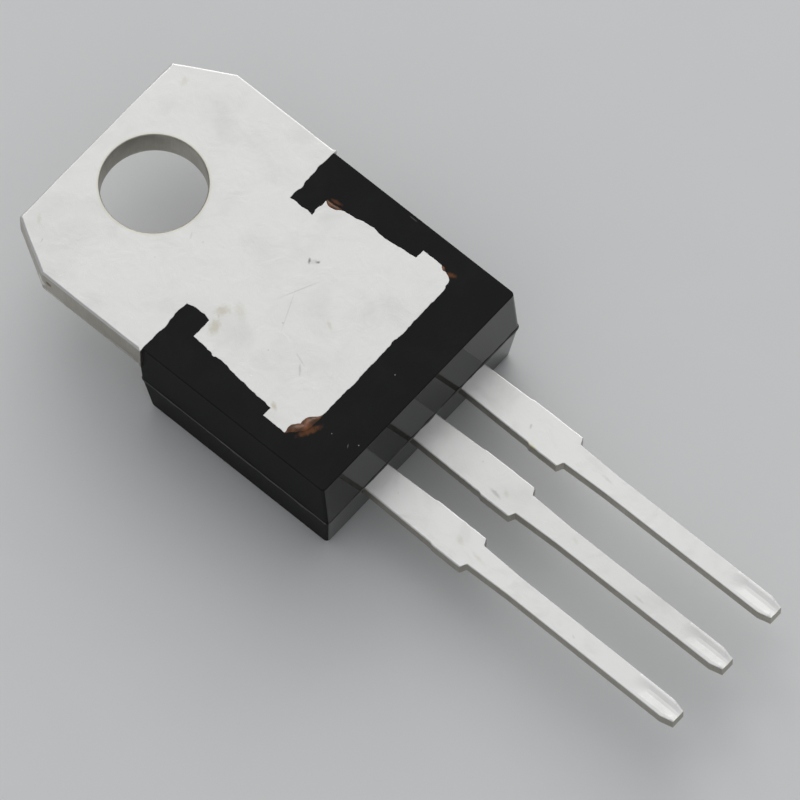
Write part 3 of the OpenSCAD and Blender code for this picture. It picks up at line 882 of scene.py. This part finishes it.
def section_points(half, low, high):
    """Anticlockwise outline of the body at one height, with round corners and even steps."""
    points = []
    for x, y, start in ((1, low, -90), (1, high, 0), (-1, high, 90), (-1, low, 180)):
        inwards = math.copysign(corner_radius, -y + (low + high) / 2)
        centre = Vector((x * (half - corner_radius), y + inwards))
        arc = [math.radians(start + 90 * k / corner_steps) for k in range(corner_steps + 1)]
        points.append([centre + Vector((math.cos(a), math.sin(a))) * corner_radius for a in arc])
    ring = []
    for here, there in zip(points, points[1:] + points[:1]):
        ring += here
        ring += [here[-1].lerp(there[0], k / side_steps) for k in range(1, side_steps)]
    return ring


def body_ring(mesh, height, inset=0.0, proud=0.0):
    """One ring of the body's outside at a height; proud pushes the flash out by an uneven amount."""
    if height > parting:
        half = body_half + (parting - height) * back_draft
        low = body_end - (parting - height) * end_draft
    else:
        half = body_half - (parting - height) * front_draft
        low = body_end + (parting - height) * front_draft
    under_tab = lap + (height + tab_thickness) * front_draft
    high = shoulder + tab_lap if height > -tab_thickness else under_tab
    ring = section_points(half - inset, low + inset, high - (inset if height < parting else 0))
    if proud:
        ring = [p + n * proud * (0.65 + 0.7 * noise.noise(Vector((p.x, p.y, 3)) / flash_wave))
                for p, n in zip(ring, outward(ring))]
    return add_ring(mesh, ring, height)


mesh = bmesh.new()
rings = []
for k in range(edge_steps + 1):
    turn = math.pi / 2 * k / edge_steps
    inset = edge_radius * (1 - math.sin(turn))
    rings.append(body_ring(mesh, -edge_radius * (1 - math.cos(turn)), inset=inset))
rings.append(body_ring(mesh, -tab_thickness + hair))
rings.append(body_ring(mesh, -tab_thickness - hair))
rings.append(body_ring(mesh, parting + flash_thickness))
rings.append(body_ring(mesh, parting + flash_thickness / 4, proud=flash_height))
rings.append(body_ring(mesh, parting - flash_thickness / 4, proud=flash_height))
rings.append(body_ring(mesh, parting - flash_thickness))
for k in range(round_steps + 1):
    turn = math.pi / 2 * k / round_steps
    inset = front_radius * (1 - math.cos(turn))
    rings.append(body_ring(mesh, front + front_radius * (1 - math.sin(turn)), inset=inset))
for upper, lower in zip(rings, rings[1:]):
    bridge(mesh, upper, lower, MATTE)
cap(mesh, [rings[0]], up=True)
middle = Vector((0, (shoulder + body_end) / 2))
pin_rings = []
for wider, depth in ((ejector_rim, 0), (0.0, ejector_rim), (-ejector_rim, ejector_depth)):
    around = [p + middle for p in circle(ejector_radius + wider, ejector_sides)]
    pin_rings.append(add_ring(mesh, around, front + depth))
for upper, lower in zip(pin_rings, pin_rings[1:]):
    bridge(mesh, upper, lower, MATTE)
cap(mesh, [rings[-1], pin_rings[0]], up=False)
cap(mesh, [pin_rings[-1]], up=False)
epoxy_kinds = [matte_epoxy, polished_epoxy, resin_skin, flash_resin_highlight]
moulding = solid_from(mesh, "epoxy_moulding", epoxy_kinds)

side_path = [(lead_high.y, lead_middle), (lead_low.y, lead_middle)]
wide_post = post_width / 2 + post_shift
narrow_post = post_width / 2 - post_shift
for name, points, sizes in (
        ("centre", centre_path, {}),
        ("input", side_path, {"centre": pitch, "right_post": wide_post, "left_post": narrow_post}),
        ("output", side_path, {"centre": -pitch, "right_post": narrow_post, "left_post": wide_post})):
    sizes["post_end"] = body_end - post_end
    room = stamped_lead(name + "_room", points, matte_epoxy, matte_epoxy, **sizes)
    combined(moulding, room, "DIFFERENCE")
combined(moulding, stamped_plate("plate_room", [matte_epoxy], raised=room_above), "DIFFERENCE")
for polygon in moulding.data.polygons:
    x, y, z = polygon.center
    at_end = abs(x) < body_half - margin and y < body_end + end_reach
    at_parting = abs(z - parting) < flash_thickness
    outside = y < body_end + near_face or abs(x) > body_half - near_face or y > shoulder
    if at_parting and outside:
        polygon.material_index = FLASH
    elif at_end and polygon.normal.y < -0.9:
        polygon.material_index = POLISHED

# The skin fills each tear between the torn edge and the full outline
skin_top = -0.004 * MM
thinnest_skin = 0.006 * MM
mesh = bmesh.new()
covered = [(a - b).length > thinnest_skin for a, b in zip(nominal, torn)]
for i, here in enumerate(covered):
    if here and not covered[i - 1]:
        run = [i]
        while covered[(run[-1] + 1) % len(covered)]:
            run.append((run[-1] + 1) % len(covered))
        sections = []
        for k in run:
            corners = ((torn[k], skin_top), (nominal[k], skin_top), (nominal[k], -skin_depth),
                       (torn[k], -skin_depth))
            sections.append([mesh.verts.new((p.x, p.y, height)) for p, height in corners])
        for first, second in zip(sections, sections[1:]):
            bridge(mesh, first, second, SKIN)
        mesh.faces.new(sections[0]).material_index = SKIN
        mesh.faces.new(sections[-1][::-1]).material_index = SKIN
skins = solid_from(mesh, "resin_skins", epoxy_kinds)
shade(moulding, flat_epoxy_area)
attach(moulding, "root")
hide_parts("moulded_body")
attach(skins, "root")

# ----------------------------------------------------------------------
# Table, light and camera. A plain pale table top, one large soft light overhead and two smaller
# ones low on the far side, and a long lens that looks down at the mounting face.
# ----------------------------------------------------------------------
table_grey = (0.79, 0.79, 0.785, 1)
table_white = (0.8, 0.8, 0.795, 1)
table_top, tree, shader = new_material("pale_table")
tint = place(tree, smudges, "Mask", smudge_size=6 * MM, low=0.3, high=0.8)
colour = blended(tree, tint, table_grey, table_white)
tree.links.new(colour, shader.inputs["Base Color"])
shader.inputs["Roughness"].default_value = 0.7
table_size = 1.2
bpy.ops.mesh.primitive_plane_add(size=table_size, location=(0, 0, front))
floor = bpy.context.object
floor.name = "table_top"
floor.data.materials.append(table_top)
floor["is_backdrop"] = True

world = bpy.data.worlds.new("studio")
world.use_nodes = True
world.node_tree.nodes["Background"].inputs[0].default_value = (0.95, 0.97, 1.0, 1)
world.node_tree.nodes["Background"].inputs[1].default_value = 0.4
bpy.context.scene.world = world


def soft_light(name, direction, distance, size, power):
    lamp = bpy.data.lights.new(name, "AREA")
    lamp.shape = "SQUARE"
    lamp.size = size
    lamp.energy = power
    holder = bpy.data.objects.new(name, lamp)
    towards = Vector(direction).normalized()
    holder.location = towards * distance
    holder.rotation_euler = towards.to_track_quat("Z", "Y").to_euler()
    bpy.context.scene.collection.objects.link(holder)


soft_light("overhead_softbox", (0.36, 0.34, 0.87), distance=0.6, size=0.6, power=0.72)
soft_light("edge_light", (0.88, 0.27, 0.38), distance=0.6, size=0.26, power=0.45)
soft_light("rear_light", (0.6, 0.65, 0.46), distance=0.7, size=0.4, power=1.0)

view_azimuth = math.radians(-48.94)
view_elevation = math.radians(64.4)
view_distance = 0.41452
view_target = Vector((-0.30, -11.605, -1.0)) * MM
back = Vector((math.sin(view_azimuth) * math.cos(view_elevation),
               -math.cos(view_azimuth) * math.cos(view_elevation), math.sin(view_elevation)))
lens = bpy.data.cameras.new("camera")
lens.sensor_width = 36
lens.lens = 540
lens.clip_start = 0.01
lens.clip_end = 5
camera = bpy.data.objects.new("camera", lens)
camera.location = view_target + back * view_distance
camera.rotation_euler = back.to_track_quat("Z", "Y").to_euler()
bpy.context.scene.collection.objects.link(camera)
bpy.context.scene.camera = camera
bpy.context.scene.view_settings.view_transform = "Standard"

sizes = {"cad": [list(corner) for corner in cad_bounds], "visual": [list(corner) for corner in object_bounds()]}
